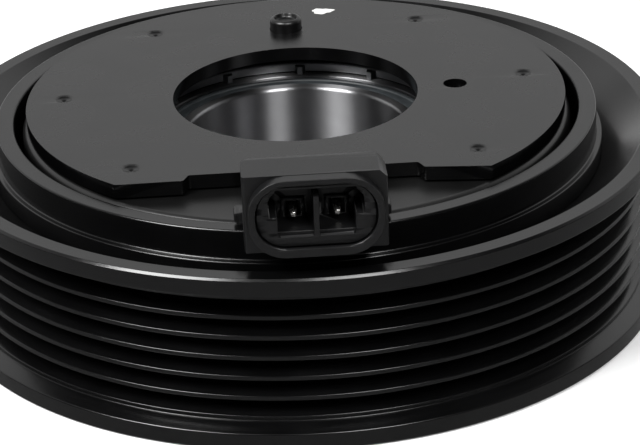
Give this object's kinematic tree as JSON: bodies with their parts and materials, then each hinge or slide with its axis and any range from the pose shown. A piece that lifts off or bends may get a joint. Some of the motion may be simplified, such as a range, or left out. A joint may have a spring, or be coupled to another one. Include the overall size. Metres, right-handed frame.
{
  "type": "air conditioning compressor clutch",
  "caption": "Electromagnetic clutch of a car's air-conditioning compressor: grooved belt pulley on a bearing, fixed field coil with plate and plug socket, sprung armature and hub.",
  "frame": {"origin": "on the axis, at the foot: centre of the pulley's front face", "axes": "+Z along the axis from the hub's side to the coil's mounting plate, -Y towards the connector"},
  "size_m": [0.1266, 0.1266, 0.0464],
  "materials": {
    "plate_coat": "satin black coat",
    "coil_steel": "satin black coat",
    "pulley_coat": "satin black coat",
    "bearing_steel": "ground",
    "seal_rubber": "matte",
    "cage_plastic": "moulded",
    "connector_plastic": "moulded, fine grain",
    "terminal_metal": "tin plated",
    "copper": "enamelled copper",
    "bobbin_plastic": "moulded",
    "potting_resin": "cast resin",
    "hub_steel": "phosphated",
    "spring_steel": "rolled"
  },
  "bodies": {
    "stator": {"mounting_plate": "plate_coat", "coil_shell": "coil_steel", "coil_bobbin": "bobbin_plastic", "coil_winding": "copper", "coil_potting": "potting_resin", "locating_pin": "plate_coat", "connector_housing": "connector_plastic", "connector_terminal_left": "terminal_metal", "connector_terminal_right": "terminal_metal", "coil_lead_left": "copper", "coil_lead_right": "copper", "bearing_inner_ring": "bearing_steel"},
    "pulley": {"belt_rim": "pulley_coat", "rotor": "pulley_coat", "bearing_outer_ring": "bearing_steel", "bearing_seal_front": "seal_rubber", "bearing_seal_rear": "seal_rubber"},
    "ball_set": {"bearing_cage": "cage_plastic", "bearing_ball_01": "bearing_steel", "bearing_ball_02": "bearing_steel", "bearing_ball_03": "bearing_steel", "bearing_ball_04": "bearing_steel", "bearing_ball_05": "bearing_steel", "bearing_ball_06": "bearing_steel", "bearing_ball_07": "bearing_steel", "bearing_ball_08": "bearing_steel", "bearing_ball_09": "bearing_steel", "bearing_ball_10": "bearing_steel", "bearing_ball_11": "bearing_steel", "bearing_ball_12": "bearing_steel", "bearing_ball_13": "bearing_steel", "bearing_ball_14": "bearing_steel", "bearing_ball_15": "bearing_steel", "bearing_ball_16": "bearing_steel"},
    "hub": {"hub_boss": "hub_steel", "hub_plate": "hub_steel", "hub_rivet_1": "hub_steel", "hub_rivet_2": "hub_steel", "hub_rivet_3": "hub_steel", "leaf_spring_1": "spring_steel", "leaf_spring_2": "spring_steel", "leaf_spring_3": "spring_steel"},
    "armature": {"armature_plate": "hub_steel", "armature_rivet_1": "hub_steel", "armature_rivet_2": "hub_steel", "armature_rivet_3": "hub_steel"}
  },
  "joints": [
    {"name": "pulley_spin", "type": "hinge", "parent": "stator", "child": "pulley", "pos_m": [0, 0, 0.0197], "axis": [0, 0, 1], "continuous": true},
    {"name": "ball_orbit", "type": "hinge", "parent": "stator", "child": "ball_set", "pos_m": [0, 0, 0.0197], "axis": [0, 0, 1], "continuous": true},
    {"name": "hub_spin", "type": "hinge", "parent": "stator", "child": "hub", "pos_m": [0, 0, 0.006], "axis": [0, 0, 1], "continuous": true},
    {"name": "armature_pull", "type": "slide", "parent": "hub", "child": "armature", "axis": [0, 0, 1], "range_m": [0, 0.0005], "stiffness_N_per_m": 10000, "deforming": ["leaf_spring_1", "leaf_spring_2", "leaf_spring_3"]}
  ],
  "couplings": [
    {"joint": "ball_orbit", "follows": "pulley_spin", "ratio": 0.5543}
  ]
}
